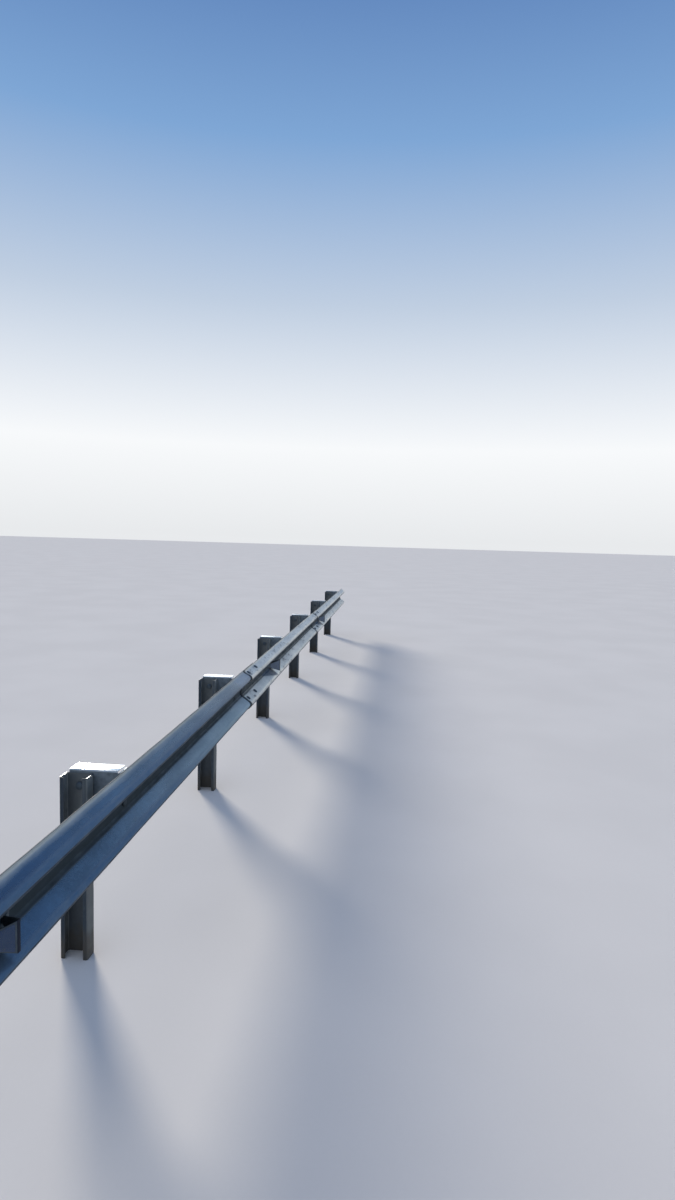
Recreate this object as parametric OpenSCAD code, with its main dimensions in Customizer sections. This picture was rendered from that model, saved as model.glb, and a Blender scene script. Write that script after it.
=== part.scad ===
// Six bays of single-sided W-beam road barrier on lipped C posts with folded spacer brackets.
// X runs along the barrier away from its near end, the traffic side faces -Y, and the ground is z = 0.
// The origin is on the ground in the web of the first post.

/* [Run] */
// Post spacing along the road
bay = 2000; // [1800:50:2400]
// Height of the beam's top edge above the ground
top_height = 810; // [700:10:900]

/* [Beam] */
// Height of the W profile, edge to edge
beam_h = 312; // [308:1:316]
// Sheet thickness of the beam
beam_t = 4; // [3:0.5:4]
// Distance between the two crests
crest_pitch = 194; // [190:1:200]
// Depth from the back of the valley to the front of the crests
beam_depth = 83; // [78:1:85]
// Inside radius of the valley and crest bends
bend_r = 24; // [20:1:28]
// Steepness of the two inner slopes, from the vertical
inner_slope = 55; // [53:1:57]
// Steepness of the two outer slopes, from the vertical
outer_slope = 62; // [59:1:64]
// Inside radius of the soft bend beside each long edge
edge_r = 14; // [8:1:18]
// Width of the upright lip between that bend and the edge
edge_lip = 3; // [2:0.5:5]

/* [Laps] */
// Length of each lap
lap = 320; // [280:10:360]
// Distance of a lap's middle past the post before it
lap_offset = 400; // [300:10:500]
// Distance between the two columns of lap bolts
lap_bolt_spacing = 240; // [200:10:250]
// Depth of the lap bolts' holes from the back of the valley, on all four slopes
lap_bolt_depth = 50; // [42:1:54]
// Length of the cut beam in front of the first post
near_overhang = 160; // [120:10:300]

/* [Posts] */
// Width of a post across the road
post_w = 120; // [110:1:130]
// Depth of a post along the road
post_d = 70; // [55:1:80]
// Width of the turned-in lips
post_lip = 20; // [15:1:25]
// Sheet thickness of a post
post_t = 5; // [4:0.5:6]
// Inside radius of the post's bends
post_r = 5; // [4:1:8]
// Distance from the middle of a post to the back of the beam's valley
setback = 165; // [160:1:190]
// How far the post's top is below the beam's top edge
post_drop = 21; // [18:1:40]

/* [Brackets] */
// Height of a bracket
bracket_h = 298; // [280:1:304]
// Width of the bracket's flanges along the road
bracket_flange = 84; // [80:1:100]
// Sheet thickness of a bracket
bracket_t = 4; // [3:0.5:5]
// Inside radius of the bracket's bends
bracket_r = 4; // [3:1:6]
// How far the bracket's wall reaches behind the middle of the post
bracket_rear = 48; // [40:1:55]
// Distance between the two bolts that hold a bracket on its post
post_bolt_spacing = 160; // [120:10:200]

/* [Holes] */
// Diameter of the holes for 16 mm bolts
bolt_hole_d = 18; // [17:0.5:20]
// Length of the slots in the beam's valley, end to end
valley_slot = 50; // [40:1:60]
// Height of the slots in a post's web, end to end
post_slot = 34; // [24:1:44]

/* [Reflectors] */
// Places of the reflectors along the run, counted in bays
reflector_bays = [0.521, 2.67, 4.472];
// How far a reflector's outer strip stands in front of the back of the valley
reflector_depth = 100; // [80:1:104]
// Height of the outer strip
reflector_h = 98; // [90:1:110]
// Height of a reflector's feet
foot_h = 28; // [24:1:29]
// Length of the outer strip along the road
strip_l = 11; // [8:1:20]
// Slant of the wings from the line of the road
wing_angle = 55; // [40:1:65]
// Length of each foot
foot_l = 34; // [30:1:40]
// Sheet thickness of a reflector
reflector_t = 2; // [1.5:0.5:3]
// Inside radius of the reflector's folds
reflector_r = 2; // [1:0.5:3]
// Diameter of the reflector's bolt holes
reflector_hole_d = 9; // [8:0.5:11]

/* [Hidden] */
$fn = 48;
bays = 6;                                  // whole bays between the seven posts named below
far_post = bays * bay;
beam_pitch = 2 * bay;                      // working length of a beam, lap to lap
bottom = top_height - beam_h;              // the beam's lower edge above the ground
crest_z = (beam_h - crest_pitch) / 2;      // the lower crest above the beam's lower edge
valley_z = bottom + beam_h / 2;
mid_r = bend_r + beam_t / 2;
slack = 0.1;                               // gap between faces that only touch
// Each beam stands this far in front of the one before it, so that their steepest slopes just touch
lap_step = (beam_t + slack) / cos(max(inner_slope, outer_slope));
skew = atan(lap_step / beam_pitch);        // and leans this much to pass over it
far_lap = far_post + lap_offset;
valley_bolt_dx = post_t / 2 + bracket_flange / 2;  // the valley bolt's place past the middle of the web
margin = 1;                                // extra length of cutters

// A folded sheet seen on edge: runs of [straight length, turn in degrees, inside radius], starting from the
// origin along +X with the sheet's middle line. A turn of 0 ends the sheet, and step is the bends' facet angle.
module folded(runs, t, step = 15) {
    stations = walk(runs, t, step);
    last = len(stations) - 1;
    polygon([
        for (s = stations) s[0] + t / 2 * left_of(s[1]),
        for (i = [last : -1 : 0]) stations[i][0] - t / 2 * left_of(stations[i][1])]);
}

// Unit vector to the left of a heading
function left_of(heading) = [-sin(heading), cos(heading)];

// Places and headings along the middle line of a folded sheet
function walk(runs, t, step, i = 0, at = [0, 0], heading = 0) =
    i == len(runs) ? [] :
    let (
        turn = runs[i][1],
        end = at + runs[i][0] * [cos(heading), sin(heading)],
        swing = (turn < 0 ? -1 : 1) * (runs[i][2] + t / 2),
        centre = end + swing * left_of(heading),
        steps = ceil(abs(turn) / step),
        arc = [for (k = [1 : steps]) let (a = heading + turn * k / steps) [centre - swing * left_of(a), a]],
        start = i == 0 ? [[at, heading]] : [],
        rest = turn == 0 ? [] : walk(runs, t, step, i + 1, arc[steps - 1][0], heading + turn)
    )
    concat(start, [[end, heading]], turn == 0 ? [] : arc, rest);

// Length of the straight piece between two bends that together climb the profile's depth
function slope_run(depth, r_a, r_b, angle) = (depth - (r_a + r_b) * (1 - cos(angle))) / sin(angle);
// Height that the same two bends and straight piece take up
function slope_rise(run, r_a, r_b, angle) = (r_a + r_b) * sin(angle) + run * cos(angle);

climb = beam_depth - beam_t;               // depth of the profile's middle line
inner_run = slope_run(climb, mid_r, mid_r, inner_slope);
inner_rise = slope_rise(inner_run, mid_r, mid_r, inner_slope);
valley_flat = crest_pitch - 2 * inner_rise;    // flat bottom of the valley
edge_mid_r = edge_r + beam_t / 2;
outer_run = (crest_z - edge_lip - (mid_r + edge_mid_r) * sin(outer_slope)) / cos(outer_slope);
// Depth of the long edges from the back of the valley
edge_depth = climb - (mid_r + edge_mid_r) * (1 - cos(outer_slope)) - outer_run * sin(outer_slope);
bend_step = 9;                             // facet angle of the profile's bends

// The W profile with the back of the valley on x = 0, its middle on y = 0 and the traffic side towards -X,
// folded from the bottom edge to the top edge
module beam_profile() {
    turns = [outer_slope, -outer_slope - inner_slope, inner_slope];
    rise = [
        [edge_lip, turns[0], edge_r],
        [outer_run, turns[1], bend_r],
        [inner_run, turns[2], bend_r]];
    fall = [
        [valley_flat, turns[2], bend_r],
        [inner_run, turns[1], bend_r],
        [outer_run, turns[0], edge_r],
        [edge_lip, 0, 0]];
    translate([-edge_depth - beam_t / 2, -beam_h / 2]) rotate(90)
        folded(concat(rise, fall), beam_t, bend_step);
}

// How far the back of the beam stands in front of its nominal line at a place x, for the beam whose
// first lap is centred on lap_x
function beam_shift(x, lap_x) = lap_step * (1 - (x - lap_x) / beam_pitch);
// Middle of the lap that starts the beam covering a place x
function lap_before(x) = lap_offset + floor((x - lap_offset) / beam_pitch) * beam_pitch;
// Back of the beam's valley at a place x
function valley_back(x) = -setback - beam_shift(x, lap_before(x));

// A plain beam from x0 to x1 that leans over its first lap, centred on lap_x
module plain_beam(x0, x1, lap_x) {
    translate([lap_x, -setback - lap_step, valley_z]) rotate([0, 0, skew])
        translate([x0 - lap_x, 0, 0]) rotate([90, 0, 90]) linear_extrude(x1 - x0) beam_profile();
}

// Bolt holes square to the four slopes of the lap centred on x
module lap_holes(x) {
    length = 4 * lap_step;
    inner_z = valley_flat / 2 + valley_slope_height(lap_bolt_depth, inner_slope);
    outer_z = crest_pitch / 2 + crest_slope_height(lap_bolt_depth, outer_slope);
    for (dx = [-1, 1], up = [-1, 1])
        translate([x + dx * lap_bolt_spacing / 2, -setback - lap_bolt_depth - lap_step / 2, valley_z])
            for (hole = [[inner_z, inner_slope], [outer_z, -outer_slope]])
                translate([0, 0, up * hole[0]]) rotate([90 + up * hole[1], 0, 0])
                    cylinder(d = bolt_hole_d, h = length, center = true);
}

// Height from the end of the valley's flat up to where the front face of the slope has a given depth
function valley_slope_height(depth, angle) =
    bend_r * sin(angle) + (depth - beam_t - bend_r * (1 - cos(angle))) / tan(angle);
// Height from a crest's middle to where the front face of the slope has a given depth
function crest_slope_height(depth, angle) =
    (bend_r + beam_t) * sin(angle) + (beam_depth - depth - (bend_r + beam_t) * (1 - cos(angle))) / tan(angle);

// Cutter for a slot along X, of a length from end to end, straight through Z
module slot(length, depth) {
    straight = length - bolt_hole_d;
    for (dx = [-1, 1] * straight / 2)
        translate([dx, 0, 0]) cylinder(d = bolt_hole_d, h = depth, center = true);
    cube([straight, bolt_hole_d, depth], center = true);
}

// Slot through the valley for the bolt at a place x
module valley_hole(x) {
    translate([x, -setback, valley_z]) rotate([90, 0, 0]) slot(valley_slot, 4 * lap_step);
}

// One beam length with its holes
module beam(x0, x1, lap_x) {
    color("lightsteelblue") difference() {
        plain_beam(x0, x1, lap_x);
        for (x = [lap_offset : beam_pitch : far_lap])
            if (x > x0 && x < x1) lap_holes(x);
        for (x = [valley_bolt_dx : bay : far_post + bay])
            if (x > x0 && x < x1) valley_hole(x);
        for (x = bay * reflector_bays)
            if (x > x0 && x < x1) reflector_holes(x);
    }
}

// A driven post, cut at the ground
module post(i) {
    corner = post_r + post_t;
    color("slategray") translate([i * bay, 0, 0]) difference() {
        translate([-post_d + post_t, post_w / 2 - post_lip, 0]) linear_extrude(top_height - post_drop)
            rotate(90) folded([
                [post_lip - corner, -90, post_r],
                [post_d - 2 * corner, -90, post_r],
                [post_w - 2 * corner, -90, post_r],
                [post_d - 2 * corner, -90, post_r],
                [post_lip - corner, 0, 0]], post_t);
        at_post_bolts() slot(post_slot, 8 * post_t);
    }
}

// Turns a cutter along +X at both bolts that hold a bracket on the post at x = 0
module at_post_bolts() {
    for (dz = [-1, 1] * post_bolt_spacing / 2)
        translate([0, 0, valley_z + dz]) rotate([0, 90, 0]) children();
}

// A folded spacer bracket: the wall stands on the far face of the post's web, and three flanges turn away
module bracket(i) {
    bolt_x = i * bay + valley_bolt_dx;
    front = valley_back(bolt_x) + slack;
    corner = bracket_r + bracket_t;
    color("gainsboro") difference() {
        translate([i * bay + post_t / 2 + slack, 0, valley_z]) {
            translate([0, bracket_rear, 0]) rotate([90, 0, 0])
                linear_extrude(bracket_rear - front - corner) bracket_channel();
            translate([0, front, -bracket_h / 2 + corner + margin])
                linear_extrude(bracket_h - 2 * (corner + margin)) front_fold();
        }
        translate([i * bay, 0, 0]) at_post_bolts() cylinder(d = bolt_hole_d, h = 8 * bracket_t, center = true);
        translate([bolt_x, front, valley_z]) rotate([90, 0, 0])
            cylinder(d = bolt_hole_d, h = 8 * bracket_t, center = true);
    }
}

// Section of the bracket's wall with its top and bottom flanges
module bracket_channel() {
    corner = bracket_r + bracket_t;
    translate([bracket_flange, bracket_t / 2 - bracket_h / 2]) rotate(180)
        folded([
            [bracket_flange - corner, -90, bracket_r],
            [bracket_h - 2 * corner, -90, bracket_r],
            [bracket_flange - corner, 0, 0]], bracket_t);
}

// Plan of the fold that turns the wall into the front flange, with its front face on y = 0
module front_fold() {
    straight = 4 * bracket_t;
    translate([bracket_t / 2, bracket_r + bracket_t + straight]) rotate(-90)
        folded([
            [straight, 90, bracket_r],
            [bracket_flange - bracket_r - bracket_t, 0, 0]], bracket_t);
}

hat_rise = reflector_depth - beam_t - slack;   // how far a reflector stands out of the valley
hat_fold = reflector_r + reflector_t / 2;
wing_l = slope_run(hat_rise - reflector_t, hat_fold, hat_fold, wing_angle);
wing_run = slope_rise(wing_l, hat_fold, hat_fold, wing_angle);
foot_bolt_dx = strip_l / 2 + wing_run + foot_l / 2;   // the foot bolts' places from a reflector's middle
seat_h = min(foot_h, valley_flat - margin);    // the feet stay on the flat of the valley

module reflector_holes(x) {
    for (side = [-1, 1])
        translate([x + side * foot_bolt_dx, -setback, valley_z]) rotate([90, 0, 0])
            cylinder(d = reflector_hole_d, h = 8 * lap_step, center = true);
}

// A folded reflector: two feet in the valley, two slanted wings and an outer strip just proud of the crests
module reflector(i) {
    x = bay * reflector_bays[i];
    base = valley_back(x) - beam_t - slack;
    color("silver") difference() {
        intersection() {
            translate([x, base - reflector_t / 2, valley_z - reflector_h / 2])
                linear_extrude(reflector_h) hat_plan();
            translate([x, base, valley_z]) rotate([90, 0, 90])
                linear_extrude(4 * hat_rise + 2 * foot_l, center = true) hat_side();
        }
        reflector_holes(x);
    }
}

// Plan of a reflector, folded from one strip, with the middle line of its feet on y = 0
module hat_plan() {
    translate([-strip_l / 2 - wing_run - foot_l, 0]) folded([
        [foot_l, -wing_angle, reflector_r],
        [wing_l, wing_angle, reflector_r],
        [strip_l, wing_angle, reflector_r],
        [wing_l, -wing_angle, reflector_r],
        [foot_l, 0, 0]], reflector_t);
}

// Side view of a reflector: narrow at the feet, widening to the outer strip
module hat_side() {
    low = -hat_rise - margin;
    neck = -3 * reflector_t;
    polygon([[margin, -seat_h / 2], [margin, seat_h / 2], [neck, seat_h / 2], [-hat_rise, reflector_h / 2],
        [low, reflector_h / 2], [low, -reflector_h / 2], [-hat_rise, -reflector_h / 2], [neck, -seat_h / 2]]);
}

module beam_near() { beam(-near_overhang, lap_offset + lap / 2, lap_offset - beam_pitch); }
module beam_full(i) {
    lap_x = lap_offset + i * beam_pitch;
    beam(lap_x - lap / 2, lap_x + beam_pitch + lap / 2, lap_x);
}

for (i = [0 : bays])
    post(i);
for (i = [0 : bays])
    bracket(i);
beam_near();
beam_full(0);  // beam_1
beam_full(1);  // beam_2
beam_full(2);  // beam_far
for (i = [0 : len(reflector_bays) - 1])
    reflector(i);
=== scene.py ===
from math import ceil, cos, floor, pi, radians as rad, sin, tan

import bmesh
import bpy
import numpy as np
from mathutils import Matrix, Vector


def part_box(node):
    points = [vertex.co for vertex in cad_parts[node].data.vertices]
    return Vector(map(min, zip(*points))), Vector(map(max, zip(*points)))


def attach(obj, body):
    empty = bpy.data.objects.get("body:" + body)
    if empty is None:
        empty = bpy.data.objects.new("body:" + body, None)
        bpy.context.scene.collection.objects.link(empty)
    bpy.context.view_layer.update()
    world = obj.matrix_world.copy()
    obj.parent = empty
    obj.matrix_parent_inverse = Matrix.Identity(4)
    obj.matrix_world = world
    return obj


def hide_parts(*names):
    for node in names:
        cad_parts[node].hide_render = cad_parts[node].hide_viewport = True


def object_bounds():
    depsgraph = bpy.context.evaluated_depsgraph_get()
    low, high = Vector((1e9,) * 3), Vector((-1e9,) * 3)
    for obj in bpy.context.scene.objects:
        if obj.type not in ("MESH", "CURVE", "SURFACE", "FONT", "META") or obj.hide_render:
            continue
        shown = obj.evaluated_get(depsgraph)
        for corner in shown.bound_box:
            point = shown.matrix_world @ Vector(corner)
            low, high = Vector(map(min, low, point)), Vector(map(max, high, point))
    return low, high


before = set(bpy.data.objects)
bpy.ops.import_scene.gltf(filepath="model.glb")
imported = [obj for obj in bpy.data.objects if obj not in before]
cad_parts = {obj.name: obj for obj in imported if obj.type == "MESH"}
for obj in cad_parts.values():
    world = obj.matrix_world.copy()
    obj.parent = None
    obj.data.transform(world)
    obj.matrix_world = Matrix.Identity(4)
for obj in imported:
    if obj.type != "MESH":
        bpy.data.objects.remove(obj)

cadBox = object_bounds()
scene = bpy.context.scene
print("frame loaded:", len(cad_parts), "nodes")


# the run, in metres; x goes along the barrier, the traffic side faces -y, the ground is z = 0
run = {
    "bay": 2.0,
    "bays": 6,
    "setback": 0.165,  # from the middle of a post to the back of the beam's valley
    "gap": 0.0001,  # between faces that only touch
    "boltHole": 0.018,
    "top": cadBox[1].z,
}
alongRun, toRoad = (1, 0, 0), (0, -1, 0)
posts = range(run["bays"] + 1)


class Wire:
    # one socket of a material: an operator on it adds the Math node that does the sum
    def __init__(self, finish, socket):
        self.finish, self.socket = finish, socket

    def maths(self, operation, *values):
        return self.finish.add("Math", {"operation": operation}, values)

    def __add__(self, other):
        return self.maths("ADD", self, other)

    def __sub__(self, other):
        return self.maths("SUBTRACT", self, other)

    def __rsub__(self, other):
        return self.maths("SUBTRACT", other, self)

    def __mul__(self, other):
        return self.maths("MULTIPLY", self, other)

    def __abs__(self):
        return self.maths("ABSOLUTE", self)

    __radd__ = __add__
    __rmul__ = __mul__

    def step(self, low, high):
        # 0 below low, 1 above high and a smooth rise between; low may be the larger
        return self.finish.add("MapRange", {"interpolation_type": "SMOOTHSTEP"},
                               {"Value": self, "From Min": low, "From Max": high})

    def mark(self, kind):
        # how far the value is into one of the marks, from 0 to 1, or to the mark's strength
        low, high, *strength = marks[kind]
        return self.step(low, high) * strength[0] if strength else self.step(low, high)


class Finish:
    # a material round one Principled shader, patterned on the object's own metres
    def __init__(self, name, **fixed):
        self.material = bpy.data.materials.new(name)
        self.material.use_nodes = True
        self.tree = self.material.node_tree
        self.shader = self.tree.nodes["Principled BSDF"]
        for socket, value in fixed.items():
            self.shader.inputs[socket.replace("_", " ")].default_value = value
        self.place = self.add("TexCoord", output="Object")
        self.x, self.y, self.z = self.axes(self.place)
        self.facing = self.axes(self.add("TexCoord", output="Normal"))

    def add(self, kind, settings=None, inputs=(), output=0):
        node = self.tree.nodes.new("ShaderNode" + kind)
        for key, value in (settings or {}).items():
            setattr(node, key, value)
        for key, value in (inputs.items() if isinstance(inputs, dict) else enumerate(inputs)):
            self.join(value, node.inputs[key])
        return Wire(self, node.outputs[output])

    def join(self, value, socket):
        if isinstance(value, Wire):
            self.tree.links.new(value.socket, socket)
        else:
            socket.default_value = value

    def axes(self, vector):
        split = self.add("SeparateXYZ", inputs=(vector,)).socket.node
        return [Wire(self, socket) for socket in split.outputs]

    def vectors(self, operation, inputs):
        return self.add("VectorMath", {"operation": operation}, inputs)

    def noise(self, scale, detail=3.0, stretch=(1, 1, 1), **more):
        return self.add("TexNoise", inputs={
            "Vector": self.vectors("MULTIPLY", (self.place, stretch)),
            "Scale": scale, "Detail": detail, **more})

    def patches(self, kind, **more):
        # noise that stands out in patches, from 0 between them to 1 inside
        limits, *noise = patchKinds[kind]
        return self.noise(*noise, **more).step(*limits)

    def uneven(self, kind, thinner):
        # a cover that is full in patches, and thinner by so much between them
        return self.patches(kind) * thinner + (1 - thinner)

    def ragged(self, kind):
        # how far an edge wanders, in metres
        width, *noise = raggedEdges[kind]
        return self.noise(*noise) * width

    def cells(self, scale, output="Distance", feature="F1", warp=0.0):
        # warp bends the cells by so many metres, with a noise somewhat coarser than they are
        place = self.place
        if warp:
            bend = self.add("TexNoise", output="Color",
                            inputs={"Vector": place, "Scale": scale * zincLook["warpScale"]})
            place = self.vectors("ADD", (place, self.vectors("SCALE", {0: bend, "Scale": warp})))
        return self.add("TexVoronoi", {"feature": feature},
                        {"Vector": place, "Scale": scale}, output)

    def blend(self, share, first, second):
        return self.add("Mix", {"data_type": "RGBA"}, {0: share, 6: first, 7: second}, output=2)

    def clamped(self, value):
        return self.add("Clamp", inputs=(value,))

    def set(self, **links):
        for socket, value in links.items():
            self.join(value, self.shader.inputs[socket.replace("_", " ")])

    def bump(self, height, distance, strength):
        self.set(Normal=self.add("Bump", inputs={
            "Height": height, "Distance": distance, "Strength": strength}))


# uneven covers: the values of noise where one begins and is full, then its scale, detail and stretch
patchKinds = {
    "coat": ((0.2, 0.8), 38.0, 4.0, (0.35, 1, 1)),
    "mottle": ((0.25, 0.6), 14.0, 5.0, (0.4, 1, 1)),
    "blots": ((0.53, 0.68), 34.0, 4.0, (0.35, 1, 1)),
    "blotFields": ((0.30, 0.55), 4.0, 2.0, (0.4, 1, 1)),
    "rubbed": ((0.2, 0.7), 30.0, 3.0),
    "runs": ((0.50, 0.66), 42.0, 3.0, (1, 0.05, 0.06)),
    "runFields": ((0.35, 0.6), 2.5, 2.0),
    "streaks": ((0.2, 0.7), 12.0, 4.0, (1, 1, 0.15)),
    "everywhere": ((0.2, 0.7), 20.0, 4.0),
    "filmTint": ((0.3, 0.7), 60.0, 2.0),
    "filmHaze": ((0.45, 0.8), 22.0, 4.0),
    "floor": ((0.3, 0.7), 0.8, 4.0),
}

# edges that wander: by how many metres, then the noise's scale, detail and stretch
raggedEdges = {
    "dustAndShade": (0.012, 16.0, 4.0, (0.25, 1, 1)),
    "skySheen": (0.010, 12.0, 3.0, (0.3, 1, 1)),
    "chalkAndHighlight": (0.014, 9.0, 4.0, (0.3, 1, 1)),
    "rub": (0.04, 20.0, 4.0),
    "seam": (0.010, 60.0, 3.0),
    "plateImage": (0.008, 30.0, 3.0, (0.4, 1, 1)),
    "soil": (0.16, 26.0, 4.0, (1, 1, 0.5)),
}

# hot-dip zinc: bright, cloudy, with a faint spangle
zincLook = {
    "bright": (0.53, 0.60, 0.66, 1),
    "dull": (0.30, 0.37, 0.435, 1),
    "white": (0.66, 0.68, 0.69, 1),  # powdery blooms where the zinc has weathered
    "specular": 0.12,
    "gloss": 0.20,  # roughness of the brightest zinc
    "matt": 0.32,
    "clouds": {"scale": 5.0, "detail": 4.0, "Distortion": 0.6},
    "cloudLimits": (0.34, 0.68),
    "fineScale": 45.0,
    "speckScale": 900.0,
    "spangleScale": 95.0,
    "spangleWarp": 0.004,
    "warpScale": 0.7,
    "toneShares": (0.55, 0.35, 0.28, 0.12),  # of the clouds, the fine ones, the spangle and the specks
    "toneLess": 0.16,
    "blooms": {"scale": 11.5, "detail": 5.0, "Roughness": 0.62},
    "bloomLimits": (0.60, 0.76),
    "bloomCover": 0.3,
    "bloomRough": 0.22,
    "bloomDull": 0.35,  # how much less metallic a bloom is
    "coatPatchy": 0.28,  # share of a coat's cover that comes and goes
    "reliefShares": (0.6, 0.03, 0.05),  # of the ripples, the specks and the spangle
    "rippleScale": 34.0,
    "relief": (0.0007, 0.25),  # depth and strength of the bump
}

# coats: colour, how much of the metal it hides, and its roughness; several are painted shade or light
coats = {
    # dust in the valley, with painted shade there
    "dustAndShade": ((0.032, 0.045, 0.052), 0.98, 0.85),
    # painted shade on what faces the ground, on the beams and the posts
    "paintedShade": ((0.012, 0.022, 0.038), 0.92, 0.62),
    # painted sky reflection on the front of each crest
    "haze": ((0.036, 0.113, 0.230), 0.90, 0.55),
    # painted sky reflection on the slope to the lower crest
    "skySheen": ((0.38, 0.56, 0.63), 0.47, 0.50),
    "frost": ((0.72, 0.70, 0.66), 0.45, 0.60),
    "splash": ((0.11, 0.10, 0.09), 0.75, 0.80),
    "rub": ((0.42, 0.48, 0.55), 0.62, 0.45),
    "seam": ((0.014, 0.020, 0.030), 1.0, 0.85),
    # painted reflection: the dark mirror image of each reflector
    "plateImage": ((0.030, 0.065, 0.115), 0.88, 0.45),
    # painted shade on the reflectors' outer strips
    "paintedStripShade": ((0.008, 0.014, 0.028), 1.35, 0.60),
    # painted shade: a dull dark grey on posts, bracket walls, plates and bolts
    "shadedSlate": ((0.045, 0.060, 0.070), 0.85, 0.70),
    "matt": ((0.27, 0.30, 0.32), 0.75, 0.60),
    # pale weathering, and a painted highlight on the beams' top bend
    "chalkAndHighlight": ((0.62, 0.65, 0.61), 0.72, 0.75),
    # grit on edges and tops, and painted light inside the reflectors
    "gritAndPaintedLight": ((0.13, 0.14, 0.14), 0.97, 0.90),
    # road dust, with painted light, on the posts' road side
    "roadDustAndLight": ((0.35, 0.36, 0.335), 0.90, 0.85),
    "soil": ((0.085, 0.073, 0.056), 0.90, 0.85),
}


def mixed(parts, shares):
    return sum(part * share for part, share in zip(parts, shares))


def zinc(name, layers, flow=(1, 1, 1), tint=(1.0, 1.0, 1.0), spangle=1.0, gloss=1.0):
    # flow stretches the clouds along the way the bath ran off; layers: (coat, where(finish) from 0 to 1)
    look = zincLook

    def shade(kind):
        return tuple(look[kind][k] * tint[k] for k in range(3)) + (1,)

    finish = Finish(name, Specular_IOR_Level=look["specular"])
    cloud = finish.noise(stretch=flow, **look["clouds"]).step(*look["cloudLimits"])
    fine = finish.noise(look["fineScale"], stretch=flow)
    flake = finish.cells(look["spangleScale"], "Color", warp=look["spangleWarp"])
    flake = finish.add("SeparateColor", inputs=(flake,))
    speck = finish.noise(look["speckScale"], 2.0)
    tone = mixed((cloud, fine, flake * spangle, speck), look["toneShares"]) - look["toneLess"]
    tone = finish.clamped(tone)
    colour = finish.blend(tone, shade("dull"), shade("bright"))
    bloom = finish.noise(stretch=flow, **look["blooms"]).step(*look["bloomLimits"]) * look["bloomCover"]
    colour = finish.blend(bloom, colour, shade("white"))
    rough = (gloss * look["gloss"] + (1 - tone) * (look["matt"] - look["gloss"])
             + bloom * look["bloomRough"])
    metal = 1 - bloom * look["bloomDull"]
    for kind, where in layers:
        coat, hides, roughness = coats[kind]
        cover = finish.clamped(where(finish) * hides * finish.uneven("coat", look["coatPatchy"]))
        colour = finish.blend(cover, colour, (*coat, 1))
        rough = rough + cover * (roughness - rough)
        metal = metal * (1 - cover)
    finish.set(Base_Color=colour, Roughness=rough, Metallic=metal)
    relief = mixed((finish.noise(look["rippleScale"], 2.0, flow), speck, flake), look["reliefShares"])
    finish.bump(relief, *look["relief"])
    return finish.material


# sheet: a shell between a front and a back grid of points, closed along its four rims
def shell(name, front, back):
    rows, columns = front.shape[:2]
    ahead, behind = np.arange(2 * rows * columns).reshape(2, rows, columns)

    def quads(grid):
        return np.stack([grid[:-1, :-1], grid[:-1, 1:], grid[1:, 1:], grid[1:, :-1]], -1).reshape(-1, 4)

    def rim(a, b):
        return np.stack([a[:-1], b[:-1], b[1:], a[1:]], -1)

    faces = np.r_[
        quads(ahead), quads(behind)[:, ::-1],
        rim(ahead[0], behind[0]), rim(ahead[-1], behind[-1])[:, ::-1],
        rim(ahead[:, 0], behind[:, 0])[:, ::-1], rim(ahead[:, -1], behind[:, -1])]
    return meshPiece(name, np.stack([front, back]).reshape(-1, 3), faces.tolist())


def meshPiece(name, points, faces):
    mesh = bpy.data.meshes.new(name)
    mesh.from_pydata(points.tolist(), [], faces)
    piece = linked(name, mesh)
    work = bmesh.new()
    work.from_mesh(mesh)
    bmesh.ops.recalc_face_normals(work, faces=work.faces)
    work.to_mesh(mesh)
    work.free()
    return piece


def linked(name, data):
    # a new object of the scene with this data
    piece = bpy.data.objects.new(name, data)
    scene.collection.objects.link(piece)
    return piece


def joined(name, parts):
    # one mesh of many closed parts, each its points and its faces
    faces, offset = [], 0
    for points, walls in parts:
        faces += [[i + offset for i in wall] for wall in walls]
        offset += len(points)
    return meshPiece(name, np.concatenate([points for points, walls in parts]), faces)


def applied(piece):
    # the piece's modifiers become its mesh
    made = bpy.data.meshes.new_from_object(piece.evaluated_get(bpy.context.evaluated_depsgraph_get()))
    piece.modifiers.clear()
    piece.data = made


def smoothed(piece, angle=38):
    piece.data.shade_smooth()
    piece.data.set_sharp_from_angle(angle=rad(angle))


def settle(piece, material, slot, *nodes):
    piece.data.materials.clear()
    piece.data.materials.append(material)
    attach(piece, "root")
    if nodes:
        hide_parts(*nodes)


def foldLine(runs, start, heading, arcStep=5.0, straightStep=0.016):
    # middle line of a folded sheet: short steps added up, each along the mean heading of its two ends
    headings, steps = [heading], []
    for straight, turn, radius in runs:
        count = max(1, ceil(straight / straightStep))
        headings += [headings[-1]] * count
        steps += [straight / count] * count
        if turn:
            count = ceil(abs(turn) / arcStep)
            steps += [2 * radius * sin(rad(abs(turn) / count / 2))] * count
            headings += list(headings[-1] + turn * np.arange(1, count + 1) / count)
    headings, steps = np.radians(headings), np.array(steps)
    middle = (headings[1:] + headings[:-1]) / 2
    walk = np.cumsum(steps[:, None] * np.stack([np.cos(middle), np.sin(middle)], 1), 0)
    points = np.array(start) + np.r_[np.zeros((1, 2)), walk]
    left = np.stack([-np.sin(headings), np.cos(headings)], 1)
    return points, left, np.r_[0, np.cumsum(steps)]


def eased(places, radius):
    # places along an edge-to-edge length, with three more close to each end for its rounding
    turn = radius * (1 - np.cos(np.radians([30, 60, 90])))
    return np.unique(np.r_[places, places[0] + turn, places[-1] - turn].round(7))


def rounding(places, radius):
    # how much a cut edge takes off the half thickness: a quarter circle within radius of each end
    near = np.clip(np.minimum(places - places[0], places[-1] - places), 0, radius)
    return radius - np.sqrt(radius ** 2 - (radius - near) ** 2)


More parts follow.
